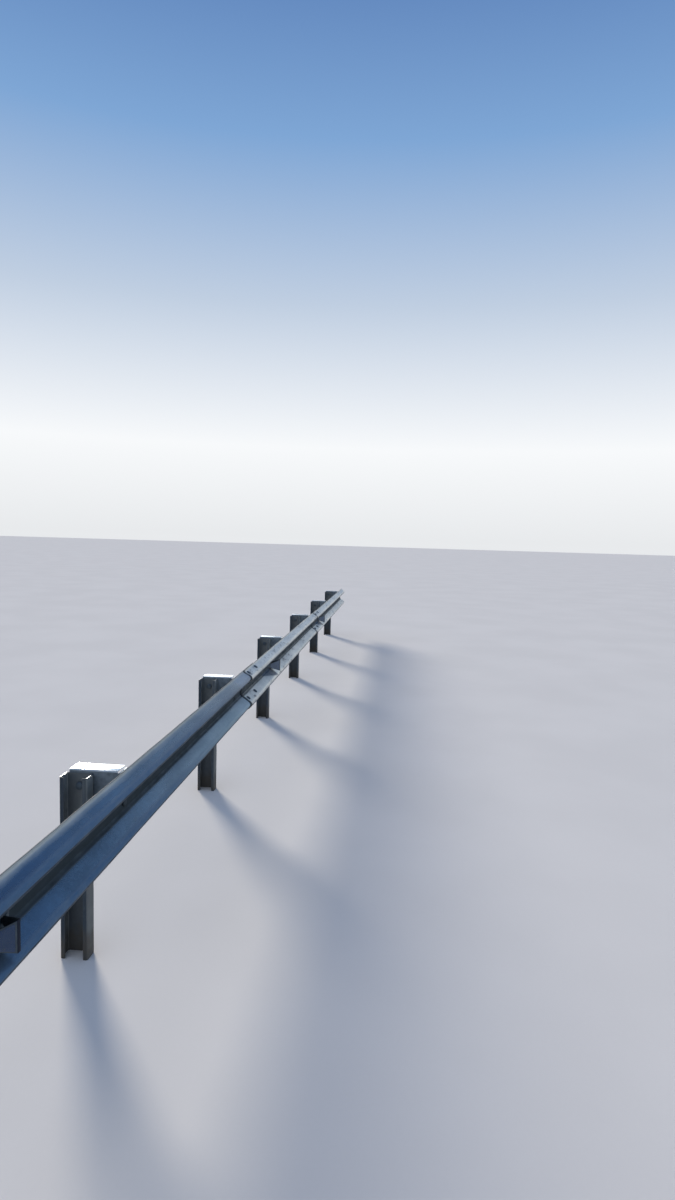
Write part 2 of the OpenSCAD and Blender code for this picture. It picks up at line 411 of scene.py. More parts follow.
def sheetGrids(line, stations, thickness, edge, wave=None):
    # the sheet's two faces: middle line plus and minus half the thickness along its left side.
    # stations run the other way; both cut edges are rounded, and wave(station, length) bends the middle
    points, left, length = line
    fine = eased(length, edge)
    stations = eased(stations, edge)
    at = np.stack([np.interp(fine, length, points[:, k]) for k in (0, 1)], 1)
    side = np.stack([np.interp(fine, length, left[:, k]) for k in (0, 1)], 1)
    side /= np.linalg.norm(side, axis=1)[:, None]
    half = thickness / 2 - np.maximum(rounding(fine, edge)[None, :], rounding(stations, edge)[:, None])
    bend = wave(stations[:, None], fine[None, :]) if wave else 0
    front = at[None] + side[None] * (bend + half)[:, :, None]
    back = at[None] + side[None] * (bend - half)[:, :, None]
    return stations, front, back


def slotPrism(centre, along, through, straight, radius, depth, corners=28):
    # cutter: a round-ended slot, its outline swept along through
    along, through = np.array(along, float), np.array(through, float)
    across = np.cross(through, along)
    turn = np.linspace(0, 2 * pi, corners, endpoint=False) + pi / corners
    outline = (np.outer(radius * np.cos(turn) + np.sign(np.cos(turn)) * straight / 2, along)
               + np.outer(radius * np.sin(turn), across) + np.array(centre))
    points = np.r_[outline - through * depth / 2, outline + through * depth / 2]
    a = np.arange(corners)
    b = np.roll(a, -1)
    walls = np.stack([a, b, b + corners, a + corners], 1).tolist()
    return points, walls + [a[::-1].tolist(), (a + corners).tolist()]


def cutOut(piece, prisms):
    cutter = joined("cutter", prisms)
    cut = piece.modifiers.new("holes", "BOOLEAN")
    cut.operation, cut.solver, cut.object = "DIFFERENCE", "EXACT", cutter
    applied(piece)
    bpy.data.meshes.remove(cutter.data)


# the W beam, rolled from one sheet
beam = {
    "height": 0.312,
    "sheet": 0.004,
    "pitch": 0.194,  # crest to crest
    "depth": 0.083,
    "bend": 0.024,  # inside radius of the crests and the valley
    "innerSlope": 55.0,
    "outerSlope": 62.0,
    "edgeBend": 0.014,
    "edgeLip": 0.003,
    "cutEdge": 0.0007,  # rounding of the cut edges under the zinc
    "wave": 0.00035,  # how far the rolled sheet wanders from true
    "waves": ((1.3, 5, 1.0), (0.47, -9, 0.6)),  # length, slant across the sheet, size
    "edgeWave": 0.0008,  # and more along its two long edges
    "edgeWaves": ((0.62, 0, 1.0), (0.23, 0, 0.5)),
    "edgePower": 5,
    "station": 0.035,
    "seed": 40,
    "lapAt": 0.4,  # middle of the first lap
    "lapLong": 0.32,
    "lapBolts": 0.24,  # between the two columns of lap bolts
    "boltDepth": 0.05,  # of the lap holes, from the back of the valley
    "valleySlot": 0.05,
    "boltPast": 0.0445,  # the valley bolt's place past the middle of a post's web
}
beamPitch = 2 * run["bay"]
lapStep = (beam["sheet"] + run["gap"]) / cos(rad(beam["outerSlope"]))
valleyZ = run["top"] - beam["height"] / 2


def slopeRun(climb, radius, angle):
    # straight length between two bends of one radius that together climb a depth
    return (climb - 2 * radius * (1 - cos(rad(angle)))) / sin(rad(angle))


def beamLine():
    # the W from its bottom edge up, in (y, z) from the back of the valley
    b = beam
    half = b["sheet"] / 2
    radius, edgeRadius = b["bend"] + half, b["edgeBend"] + half
    climb = b["depth"] - b["sheet"]
    inner, outer, lip = b["innerSlope"], b["outerSlope"], b["edgeLip"]
    innerRun = slopeRun(climb, radius, inner)
    flat = b["pitch"] - 2 * (2 * radius * sin(rad(inner)) + innerRun * cos(rad(inner)))
    crest = (b["height"] - b["pitch"]) / 2
    outerRun = (crest - lip - (radius + edgeRadius) * sin(rad(outer))) / cos(rad(outer))
    edgeDepth = (climb - (radius + edgeRadius) * (1 - cos(rad(outer)))
                 - outerRun * sin(rad(outer)))
    rise = [(lip, outer, edgeRadius), (outerRun, -outer - inner, radius), (innerRun, inner, radius)]
    fall = [(flat, inner, radius), (innerRun, -outer - inner, radius), (outerRun, outer, edgeRadius),
            (lip, 0, 0)]
    return foldLine(rise + fall, (-edgeDepth - half, -b["height"] / 2), 90), flat


profile, valleyFlat = beamLine()


def backFrom(lap, x):
    # y of the back of the valley at x, on the length whose first lap this is
    return -run["setback"] - lapStep * (1 - (x - lap) / beamPitch)


def beamBack(x):
    # the same, on the length whose lap is nearest before x
    return backFrom(laps[0] + floor((x - laps[0]) / beamPitch) * beamPitch, x)


def lapRows():
    # the slopes that carry lap bolts: height from the valley's middle, and how much each leans
    b = beam
    depth = b["boltDepth"]
    inner, outer = rad(b["innerSlope"]), rad(b["outerSlope"])
    near = valleyFlat / 2 + b["bend"] * sin(inner) + (
        depth - b["sheet"] - b["bend"] * (1 - cos(inner))) / tan(inner)
    full = b["bend"] + b["sheet"]
    far = b["pitch"] / 2 + full * sin(outer) + (
        b["depth"] - depth - full * (1 - cos(outer))) / tan(outer)
    return [(up * height, up * lean) for up in (1, -1) for height, lean in ((near, inner), (far, -outer))]


def lapBoltPlaces(lap):
    # centre of each lap hole and the way its bolt's head points
    return [((lap + dx * beam["lapBolts"] / 2, -run["setback"] - beam["boltDepth"] - lapStep / 2,
              valleyZ + height), (0, -cos(lean), -sin(lean)))
            for dx in (-1, 1) for height, lean in lapRows()]


laps = [beam["lapAt"] + i * beamPitch for i in range(4)]
valleyBolts = [i * run["bay"] + beam["boltPast"] for i in posts]
reflector = {
    "places": [0.521 * run["bay"], 2.67 * run["bay"], 4.472 * run["bay"]],
    "depth": 0.1,
    "height": 0.098,
    "footHeight": 0.028,
    "strip": 0.011,
    "wing": 55.0,  # lean of a wing from the run's direction, in degrees
    "foot": 0.034,
    "sheet": 0.002,
    "bend": 0.002,
    "hole": 0.009,
}


def reflectorPlan():
    # rise of the strip over the feet, straight length of a wing, and its length along the road
    r = reflector
    rise = r["depth"] - beam["sheet"] - run["gap"]
    fold = r["bend"] + r["sheet"] / 2
    straight = slopeRun(rise - r["sheet"], fold, r["wing"])
    return rise, straight, 2 * fold * sin(rad(r["wing"])) + straight * cos(rad(r["wing"]))


wingRise, wingStraight, wingRun = reflectorPlan()
footBolt = reflector["strip"] / 2 + wingRun + reflector["foot"] / 2


def beamHoles(x0, x1):
    # centre, way through, straight part and radius of each hole of a length that runs from x0 to x1
    radius = run["boltHole"] / 2
    holes = [(at, way, 0, radius) for lap in laps for at, way in lapBoltPlaces(lap)]
    holes += [((x, -run["setback"], valleyZ), toRoad, beam["valleySlot"] - run["boltHole"], radius)
              for x in valleyBolts]
    holes += [((x + side * footBolt, -run["setback"], valleyZ), toRoad, 0, reflector["hole"] / 2)
              for x in reflector["places"] for side in (-1, 1)]
    return [slotPrism(at, alongRun, way, straight, r, 4 * lapStep)
            for at, way, straight, r in holes if x0 < at[0] < x1]


def rippled(kinds, turns, x, share):
    # waves along the run, -1 to 1; share is the place across the sheet, from 0 to 1
    waves = [size * np.sin(2 * pi * x / long + slant * share + turn)
             for (long, slant, size), turn in zip(kinds, turns)]
    return sum(waves) / sum(size for long, slant, size in kinds)


def rolledBeam(node, lap, seed):
    low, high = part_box(node)
    turns = np.random.default_rng(seed).uniform(0, 2 * pi, 4)

    def wave(x, s):
        # long slow waves over the whole sheet, and short ones that grow towards the two long edges
        share = s / profile[2][-1]
        edge = np.abs(2 * share - 1) ** beam["edgePower"]
        return (beam["wave"] * rippled(beam["waves"], turns[:2], x, share)
                + beam["edgeWave"] * edge * rippled(beam["edgeWaves"], turns[2:], x, share))

    count = ceil((high.x - low.x) / beam["station"])
    stations, front, back = sheetGrids(profile, np.linspace(low.x, high.x, count + 1),
                                       beam["sheet"], beam["cutEdge"], wave)
    along = np.broadcast_to(stations[:, None], front.shape[:2])

    def placed(grid):
        return np.stack([along, backFrom(lap, along) + grid[:, :, 0], valleyZ + grid[:, :, 1]], -1)

    piece = shell(node + "_rolled", placed(front), placed(back))
    cutOut(piece, beamHoles(low.x, high.x))
    smoothed(piece)
    return piece


# marks on the beams, in metres: where each begins and where it is full, then its strength if below 1.
# heights are from the middle of the valley, of a crest or from the top edge; the rest is along the run
marks = {
    "dustShadeFoot": (-0.0395, -0.0335),
    "dustShadeHead": (0.042, 0.012),
    "dustShadeThins": (1.6, 4.2, 0.12),
    "skyBlueHead": (0.028, 0.014),
    "skyBlueFoot": (-0.0035, -0.0025),
    "skyBlueThins": (2.0, 4.2, 0.6),
    "sheenHead": (-0.030, -0.045),
    "sheenFoot": (-0.100, -0.094),
    "sheenGrows": (1.9, 4.2),
    "shadeFoot": (-0.0265, -0.0245),
    "crestTurn": (-0.0025, -0.0035),  # where a crest begins to face the ground
    "paleBandFoot": (-0.018, -0.004),
    "paleBandGrows": (5.0, 0.0, 0.6),
    "gritFoot": (-0.0022, -0.0006),
    "rubStart": (-0.34, -0.26),
    "rubEnd": (0.03, 0.02),
    "seamStart": (-0.018, -0.008),
    "seamEnd": (0.011, 0.009),
    "lastSeam": (laps[3] - 0.3, laps[3] - 0.4),
    "imageStart": (-0.40, -0.34),
    "imageEnd": (0.02, -0.01),
    "imageFoot": (-0.090, -0.080),
    "imageHead": (-0.014, -0.022),
    "runsFade": (-0.2, 0.15, 0.45),
    "faceRoad": (0.15, -0.15),  # of the normal's y
    "faceVerge": (-0.15, 0.15),
}


def valleyDustAndShade(finish):
    # dust and painted shade in the bottom of the valley; its lower line wanders much less than its upper
    # one
    z, ragged = finish.z - valleyZ, finish.ragged("dustAndShade")
    return ((z + ragged * 0.35).mark("dustShadeFoot") * (z - ragged).mark("dustShadeHead")
            * (1 - finish.x.mark("dustShadeThins")))


def crestSkyBlue(finish):
    # painted sky reflection: a blue band on the front of each crest, weaker further on
    z, crest = finish.z - valleyZ, beam["pitch"] / 2
    band = sum((z - place).mark("skyBlueHead") * (z - place).mark("skyBlueFoot") for place in (crest, -crest))
    return band * (1 - finish.x.mark("skyBlueThins"))


def slopeSkySheen(finish):
    # painted sky reflection: a pale blue sheen on the slope that leads to the lower crest, growing along
    # the run
    z = finish.z - valleyZ + finish.ragged("skySheen")
    return z.mark("sheenHead") * z.mark("sheenFoot") * finish.x.mark("sheenGrows")


def underShade(finish):
    # painted shade on all that faces the ground: the upper side of the valley, and the lower crest's
    # underside
    z, crest = finish.z - valleyZ, beam["pitch"] / 2
    return z.mark("shadeFoot") * (z - crest).mark("crestTurn") + (z + crest).mark("crestTurn")


def fromTop(finish, drop=0.0):
    # height from the beam's top edge, or from so far below it
    return finish.z - (run["top"] - drop)


def topPaleHighlight(finish):
    # the soft bend below the top edge is pale, most at the near end: weathering and a painted highlight
    band = (fromTop(finish) + finish.ragged("chalkAndHighlight")).mark("paleBandFoot")
    return band * (finish.x.mark("paleBandGrows") + 0.4)


def topEdge(finish):
    # the cut edge itself is dull with grit
    return fromTop(finish).mark("gritFoot")


def mottle(finish):
    # the matt crystals that new zinc forms, thinner in patches
    return finish.uneven("mottle", 0.45)


def spatter(finish):
    # dried splashes, small and scattered
    return finish.patches("blots", Roughness=0.7) * finish.patches("blotFields")


def pastEvery(finish, first, pitch, ragged=0.0):
    # how far past the nearest of a row of places a point lies, along the run
    x = finish.x + ragged + (pitch / 2 - first)
    return x.maths("FLOORED_MODULO", x, pitch) - pitch / 2


def pastLap(finish, kind):
    return pastEvery(finish, beam["lapAt"] - beam["lapLong"] / 2, beamPitch, finish.ragged(kind))


def lapRub(finish):
    # each sheet is brighter before a lap, rubbed by the one that was slid over it
    past = pastLap(finish, "rub")
    return past.mark("rubStart") * past.mark("rubEnd") * finish.uneven("rubbed", 0.4)


def lapSeam(finish):
    # a dark line along the step where the front sheet begins; the far end has no such step
    past = pastLap(finish, "seam")
    return past.mark("seamStart") * past.mark("seamEnd") * finish.x.mark("lastSeam")


def plateReflection(finish):
    # painted reflection: the reflector's dark mirror image, a wedge on the slope under each reflector's
    # near wing
    z = finish.z - valleyZ + finish.ragged("plateImage")
    wedges = sum(past.mark("imageStart") * past.mark("imageEnd") * (z + past * 0.15).mark("imageFoot")
                 for past in [finish.x - place for place in reflector["places"]])
    return wedges * z.mark("imageHead")


def roadSide(where):
    # the same, only on faces turned to the traffic
    return lambda finish: where(finish) * finish.facing[1].mark("faceRoad")


def vergeSide(finish):
    # the backs of all lengths have weathered to the same matt grey
    return finish.facing[1].mark("faceVerge")


def rainRuns(finish):
    # the sheltered back keeps faint narrow runs of dirt, drawn down from the top edge
    fade = (finish.z - valleyZ).mark("runsFade")
    return finish.patches("runs") * finish.patches("runFields") * fade * vergeSide(finish)


common = [("matt", vergeSide), ("paintedShade", roadSide(underShade)), ("dustAndShade", roadSide(valleyDustAndShade)),
          ("chalkAndHighlight", topPaleHighlight), ("gritAndPaintedLight", topEdge), ("seam", roadSide(lapSeam)),
          ("plateImage", roadSide(plateReflection)), ("splash", rainRuns)]
agedLayers = [("rub", roadSide(lapRub)), ("haze", roadSide(crestSkyBlue)), ("skySheen", roadSide(slopeSkySheen))]
newerLayers = [("frost", mottle), ("splash", roadSide(spatter))]
# the two nearest lengths have aged to a dull blue grey, the others are newer
agedZinc = zinc("beamZincAged", agedLayers + common, (0.35, 1, 1), (0.37, 0.42, 0.45))
newerZinc = zinc("beamZincNewer", newerLayers + common, (0.35, 1, 1), (1.50, 1.36, 1.14))
beams = [("beam_near", agedZinc), ("beam_1", agedZinc), ("beam_2", newerZinc), ("beam_far", newerZinc)]
for number, (node, material) in enumerate(beams):
    lap = laps[0] + (number - 1) * beamPitch
    settle(rolledBeam(node, lap, beam["seed"] + number), material, "beam_zinc", node)
print("beams rolled")


# the posts: lipped C sections, their tops battered by the driving hammer
post = {
    "width": 0.12,
    "depth": 0.07,
    "drop": 0.021,  # of its top below the beam's
    "lip": 0.02,
    "sheet": 0.005,
    "bend": 0.005,
    "cutEdge": 0.0009,
    "slot": 0.034,
    "boltSpacing": 0.16,
    "station": 0.045,
    "seed": 90,
    "topStations": (0.001, 0.002, 0.0035, 0.006, 0.01, 0.016),
    "hammer": ((11, 1.0), (29, 1.0), (53, 0.7)),  # waves along the section's length, and their size
    "beaten": 0.0035,  # how fast the hammer's marks fade below the top
    "burr": 0.00025,  # how much the top edge is spread
    "burrShares": (0.75, 0.25),  # of it that is even, and that comes with the waves
    "dent": 0.0004,  # and how far it is beaten down
    "dentShares": (0.5, 0.5 / 2.8),
}


def drivenPost(index):
    p = post
    node = f"post_{index + 1}"
    low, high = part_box(node)
    half, corner = p["sheet"] / 2, p["bend"] + p["sheet"]
    radius = p["bend"] + half
    lip, side = p["lip"] - corner, p["depth"] - 2 * corner
    line = foldLine([(lip, -90, radius), (side, -90, radius), (p["width"] - 2 * corner, -90, radius),
                     (side, -90, radius), (lip, 0, 0)],
                    (low.x + half, high.y - p["lip"]), 90, arcStep=9.0)
    turns = np.random.default_rng(p["seed"] + index).uniform(0, 2 * pi, 3)
    heights = np.linspace(0, high.z, ceil(high.z / p["station"]) + 1)
    heights = np.unique(np.r_[heights, high.z - np.array(p["topStations"])])
    stations, front, back = sheetGrids(line, heights, p["sheet"], p["cutEdge"])
    share = np.linspace(0, 1, front.shape[1])
    blows = sum(size * np.sin(wave * share + turn) for (wave, size), turn in zip(p["hammer"], turns))
    fade = np.exp(-(high.z - stations) / p["beaten"])[:, None]
    burr = p["burr"] * fade * (p["burrShares"][0] + p["burrShares"][1] * blows)
    dent = p["dent"] * fade * (p["dentShares"][0] + p["dentShares"][1] * blows)
    across = (front - back) / np.linalg.norm(front - back, axis=2)[:, :, None]

    def placed(grid, sign):
        spread = grid + across * sign * burr[:, :, None]
        return np.concatenate([spread, (stations[:, None] - dent)[:, :, None]], 2)

    piece = shell(node + "_driven", placed(front, 1), placed(back, -1))
    cutOut(piece, [slotPrism((index * run["bay"], 0, valleyZ + dz), (0, 0, 1), alongRun,
                             p["slot"] - run["boltHole"], run["boltHole"] / 2, 8 * p["sheet"])
                   for dz in postBoltHeights])
    smoothed(piece)
    return piece


postBoltHeights = (-post["boltSpacing"] / 2, post["boltSpacing"] / 2)
# marks on the posts, brackets and plates: heights are from a post's or a bracket's top, or the ground,
# and places along the run are from a post's web or a plate's middle
marks.update({
    "soilHead": (0.07, -0.03, 0.85),
    "flange": (post["width"] / 2 - post["sheet"] - 0.001, post["width"] / 2 - post["sheet"]),
    "wornTop": (-0.0022, -0.0010),
    "faceRoadFully": (-0.3, -0.8),  # of the normal's x or y
    "webFace": (-0.012, -0.006, 0.3),
    "filmHead": (-0.0010, -0.0022),
    "lipStart": (-0.050, -0.056),
    "vergeHalf": (0.02, 0.05, 0.75),
    "underBeamShade": (0.52, 0.36, 0.6),
    "nearWallShade": (post["sheet"] / 2 + 0.0012, post["sheet"] / 2 + 0.0004),
    "topBend": (0.0125, 0.0095),
    "topBendFoot": (-0.0060, -0.0040),
    "strip": (0.009, 0.008),
    "paintedLightHollow": (0.1, 0.4, 0.5),  # of the normal's y
})


def splash(finish):
    # soil splashed and scraped over the foot of a post, in a ragged line
    return (finish.z - finish.ragged("soil")).mark("soilHead")


def postTop(finish):
    return fromTop(finish, post["drop"]).mark("wornTop")


def batteredTop(finish):
    # the hammer has bared the top edge, most of all along the two flanges
    return postTop(finish) * abs(finish.y).mark("flange")


def patinaAndShade(finish):
    # painted shade darkens the posts all over, in streaks that follow the rain
    return (finish.patches("streaks") * 0.3 + 0.5) * (1 - batteredTop(finish))


def lipTop(finish):
    # the tops of the web and the lips have kept their dirt
    return postTop(finish) * (1 - batteredTop(finish))


def pastPost(finish):
    return pastEvery(finish, 0, run["bay"])


def everywhere(finish):
    return finish.uneven("everywhere", 0.25)


def roadFace(finish):
    # a pale film of road dust and painted light on the faces turned to the traffic, thinner on the web
    # inside
    ahead, across, up = finish.facing
    web = ahead.mark("faceRoadFully") * pastPost(finish).mark("webFace")
    return (everywhere(finish) * (across.mark("faceRoadFully") + web)
            * fromTop(finish, post["drop"]).mark("filmHead"))


def vergeShade(finish):
    # painted shade: each post is darker on the lip at the verge side, and all round under the beam
    lip = pastPost(finish).mark("lipStart") * finish.y.mark("vergeHalf")
    return lip + (1 - lip) * finish.z.mark("underBeamShade")


# the posts' zinc is darkened and coated all over as painted shade
postZinc = zinc("postZinc", [("shadedSlate", patinaAndShade), ("gritAndPaintedLight", lipTop), ("roadDustAndLight", roadFace),
                             ("paintedShade", vergeShade), ("soil", splash)], (1, 1, 0.22), (0.28, 0.28, 0.28))
for index in posts:
    settle(drivenPost(index), postZinc, "post_zinc", f"post_{index + 1}")
print("posts driven")


# folded brackets and reflector plates: the frame's own meshes, merged, with their edges eased
folds = {
    "bracketEdge": 0.0009,
    "reflectorEdge": 0.00045,
    "merged": 1e-6,
    "flat": 1.0,  # in degrees: faces that meet flatter than this become one,
    "sharp": 40.0,  # and edges sharper than this are rounded
    "segments": 3,
    "shaded": 30.0,
}


def softened(node, name, width):
    piece = linked(name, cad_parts[node].data.copy())
    work = bmesh.new()
    work.from_mesh(piece.data)
    bmesh.ops.remove_doubles(work, verts=work.verts, dist=folds["merged"])
    bmesh.ops.dissolve_limit(work, angle_limit=rad(folds["flat"]), verts=work.verts, edges=work.edges)
    for layer in list(work.loops.layers.uv.values()):
        work.loops.layers.uv.remove(layer)
    work.to_mesh(piece.data)
    work.free()
    ease = piece.modifiers.new("edges", "BEVEL")
    ease.limit_method, ease.angle_limit = "ANGLE", rad(folds["sharp"])
    ease.width, ease.segments = width, folds["segments"]
    applied(piece)
    smoothed(piece, folds["shaded"])
    return piece


def nearWallShade(finish):
    # painted shade on the near face of each bracket's wall
    return pastPost(finish).mark("nearWallShade")


def bendChalk(finish):
    # the zinc has weathered white along the bend that leads to the top flange
    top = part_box("bracket_1")[1].z
    return pastPost(finish).mark("topBend") * (finish.z - top).mark("topBendFoot")


def stripShade(finish):
    # painted shade: the outer strip of a reflector, turned to the road, is dark
    return sum(abs(finish.x - place).mark("strip") for place in reflector["places"])


def paintedLightHollow(finish):
    # painted light: the inside, which faces the beam, is lightened
    return everywhere(finish) * finish.facing[1].mark("paintedLightHollow")


bracketZinc = zinc("bracketZinc", [("shadedSlate", nearWallShade), ("chalkAndHighlight", bendChalk)], (1, 0.5, 0.5), gloss=0.9)
# painted shade: the plates' zinc is darkened and coated all over
plateZinc = zinc("plateZinc", [("shadedSlate", everywhere), ("gritAndPaintedLight", paintedLightHollow), ("paintedStripShade", stripShade)],
                 (1, 1, 0.6), (0.45, 0.45, 0.45), gloss=0.5)
for number in range(1, len(posts) + 1):
    node = f"bracket_{number}"
    settle(softened(node, node + "_folded", folds["bracketEdge"]), bracketZinc, "bracket_zinc", node)
for number in range(1, len(reflector["places"]) + 1):
    node = f"reflector_{number}"
    settle(softened(node, node + "_plate", folds["reflectorEdge"]), plateZinc, "reflector_sheet", node)
print("brackets and reflector plates eased")


# bolts, true to a 16 mm barrier bolt
bolt = {
    "head": 0.0175,  # radius of the domed head
    "dome": 0.0085,  # its height
    "rim": 0.22,  # share of the height below the dome,
    "fillet": (0.97, 0.35),  # and the fillet there: shares of the head's radius and of the rim
    "domeArc": (90, 6, 9),  # degrees from the head's axis, and rings
    "shank": 0.008,
    "thread": 0.002,  # pitch
    "threadDepth": 0.0011,
    "threadFades": 0.0012,  # this far before the end of the shank,
    "threadStops": 0.0013,  # where no ring past this is cut,
    "pointFrom": 0.001,  # and the point begins
    "point": (0.97, 0.8),  # radii of the point, as shares of the shank's
    "spare": 0.009,  # thread past the nut
    "flats": 0.024,  # across the nut
    "nut": 0.013,
    "chamfer": 30,  # degrees from the nut's faces
    "washer": 0.015,
    "washerThick": 0.003,
    "washerEdge": 0.18,  # share of the thickness that is eased
    "washerPlay": 1.01,  # its hole, by the shank
    "around": {"round": 28, "nut": 36, "thread": 18},
    "shaded": 32,
}
smallBolt = {**bolt, "head": 0.0085, "dome": 0.005, "shank": 0.004, "thread": 0.00125,
             "threadDepth": 0.0007, "flats": 0.013, "nut": 0.0065, "washer": 0.008,
             "washerThick": 0.0016, "spare": 0.005}


def lathed(radii, heights, around, squash=None):
    # a surface turned about z: radius and height for each ring, closed at both ends by its end ring
    turn = np.linspace(0, 2 * pi, around, endpoint=False)
    heights = np.array(heights)[:, None]
    radii = np.repeat(np.array(radii)[:, None], around, 1)
    if squash:
        radii = squash(radii, heights, turn[None])
    rings = np.broadcast_to(heights, radii.shape)
    points = np.stack([radii * np.cos(turn), radii * np.sin(turn), rings], -1)
    index = np.arange(radii.size).reshape(-1, around)
    after = np.roll(index, -1, 1)
    walls = np.stack([index[:-1], after[:-1], after[1:], index[1:]], -1).reshape(-1, 4).tolist()
    return points.reshape(-1, 3), walls + [index[0][::-1].tolist(), index[-1].tolist()]


def domeHead(b):
    # a spherical cap on a short rim, with a small fillet between
    angle = np.radians(np.linspace(*b["domeArc"]))
    rim, (inset, low) = b["dome"] * b["rim"], b["fillet"]
    radii = np.r_[b["shank"], b["head"] * inset, b["head"], b["head"] * np.sin(angle)]
    heights = np.r_[0, 0, rim * low, rim + (b["dome"] - rim) * np.cos(angle)]
    return lathed(radii, heights, b["around"]["round"])


def washerRing(b, at):
    hole, outer, top = b["shank"] * b["washerPlay"], b["washer"], at + b["washerThick"]
    edge = b["washerThick"] * b["washerEdge"]
    return lathed([hole, outer - edge, outer, outer, outer - edge, hole],
                  [at, at, at + edge, top - edge, top, top], b["around"]["round"])


def hexNut(b, at):
    # six flats, the radius growing as 1 / cos from the middle of each; a cone chamfers both faces
    apothem, tall = b["flats"] / 2, b["nut"]
    cone = tan(rad(b["chamfer"]))

    def six(radii, heights, turn):
        flat = apothem / np.cos((turn + pi / 6) % (pi / 3) - pi / 6)
        edge = np.minimum(heights - at, at + tall - heights)
        return np.where(radii > b["shank"], np.minimum(flat, apothem + edge / cone), radii)

    slope = (apothem / cos(pi / 6) - apothem) * cone
    rings = [0, 0, slope / 2, slope, tall / 2, tall - slope, tall - slope / 2, tall, tall]
    radii = [b["shank"]] + [b["flats"]] * 7 + [b["shank"]]
    return lathed(radii, at + np.array(rings), b["around"]["nut"], six)


def threadEnd(b):
    # a helix: the radius saws between crest and root as height and turn go by one pitch a turn
    end, pitch = b["spare"], b["thread"]
    fadeAt = end - b["threadFades"]

    def saw(radii, heights, turn):
        phase = (heights / pitch - turn / (2 * pi)) % 1
        fade = np.clip((fadeAt - heights) / pitch, 0, 1)
        cut = radii - b["threadDepth"] * np.abs(2 * phase - 1) * fade
        return np.where(heights < end - b["threadStops"], cut, radii)

    rings = np.arange(0, fadeAt, pitch / 3)
    radii = [b["shank"]] * len(rings) + [b["shank"] * share for share in b["point"]]
    return lathed(radii, [*rings, end - b["pointFrom"], end], b["around"]["thread"], saw)


def boltAt(b, front, way, grip, headWasher, spin):
    # parts in the bolt's own frame, z pointing out of the head, then turned to way and put at front
    head, faces = domeHead(b)
    parts = [(head + [0, 0, b["washerThick"] if headWasher else 0], faces)]
    if headWasher:
        parts.append(washerRing(b, 0))
    low = -grip - b["washerThick"]
    parts += [washerRing(b, low), hexNut(b, low - b["nut"])]
    tail, faces = threadEnd(b)
    parts.append((tail * [1, 1, -1] + [0, 0, low - b["nut"]], [face[::-1] for face in faces]))
    z = Vector(way).normalized()
    x = Vector((1, 0, 0)) if abs(z.x) < 0.5 else Vector((0, 1, 0))
    x = Matrix.Rotation(spin, 3, z) @ (x - z * x.dot(z)).normalized()
    turn = np.array([x, z.cross(x), z])
    return [(points @ turn + np.array(front), faces) for points, faces in parts]


def boltGroup(name, bolts):
    # bolts: (sizes, front, way, grip, headWasher); the nuts' turns differ, the same way each run
    spins = np.random.default_rng(len(name)).uniform(0, pi / 3, len(bolts))
    piece = joined(name, [part for spec, spin in zip(bolts, spins) for part in boltAt(*spec, spin)])
    smoothed(piece, bolt["shaded"])
    return piece


def lapBolts(lap):
    # the front beam's face stands half a lap step in front of the holes' common centre, along y
    bolts = [(np.array(at), np.array(way)) for at, way in lapBoltPlaces(lap)]
    grip = beam["sheet"] * 2 + run["gap"] * 3
    return [(bolt, at + way * (lapStep / 2) * -way[1], way, grip, False) for at, way in bolts]


def valleyFront(x, inFront=0, past=0):
    # a place past x along the valley, so far in front of the sheet's face at x
    return x + past, beamBack(x) - beam["sheet"] - inFront, valleyZ


# painted shade: the bolts' zinc is darkened and coated; the valley bolts take the valley's dust and shade
boltZinc = zinc("boltZinc", [("shadedSlate", everywhere)], tint=(0.45, 0.48, 0.5), spangle=0.3)
dustShadedZinc = zinc("boltZincDustShaded", [("dustAndShade", everywhere)], tint=(0.3, 0.3, 0.3), spangle=0.3)
for number, lap in enumerate(laps[:3]):
    settle(boltGroup(f"lap_bolts_{number + 1}", lapBolts(lap)), boltZinc, "beam_zinc")

bracketSheet = 0.004
valleyGrip = beam["sheet"] + bracketSheet + run["gap"]
valleySet = [(bolt, valleyFront(x), toRoad, valleyGrip, False) for x in valleyBolts]
settle(boltGroup("valley_bolts", valleySet), dustShadedZinc, "beam_zinc")
# a bracket's bolts have their heads inside the post, and their nuts on the bracket's far face
postGrip = post["sheet"] + bracketSheet + run["gap"]
postSet = [(bolt, (i * run["bay"] - post["sheet"] / 2, 0, valleyZ + dz), (-1, 0, 0), postGrip, True)
           for i in posts for dz in postBoltHeights]
settle(boltGroup("post_bolts", postSet), boltZinc, "bracket_zinc")
footFront = run["gap"] + reflector["sheet"]
footGrip = beam["sheet"] + footFront
footSet = [(smallBolt, valleyFront(x, footFront, side * footBolt), toRoad, footGrip, False)
           for x in reflector["places"] for side in (-1, 1)]
settle(boltGroup("reflector_bolts", footSet), boltZinc, "reflector_sheet")
print("bolts tightened")


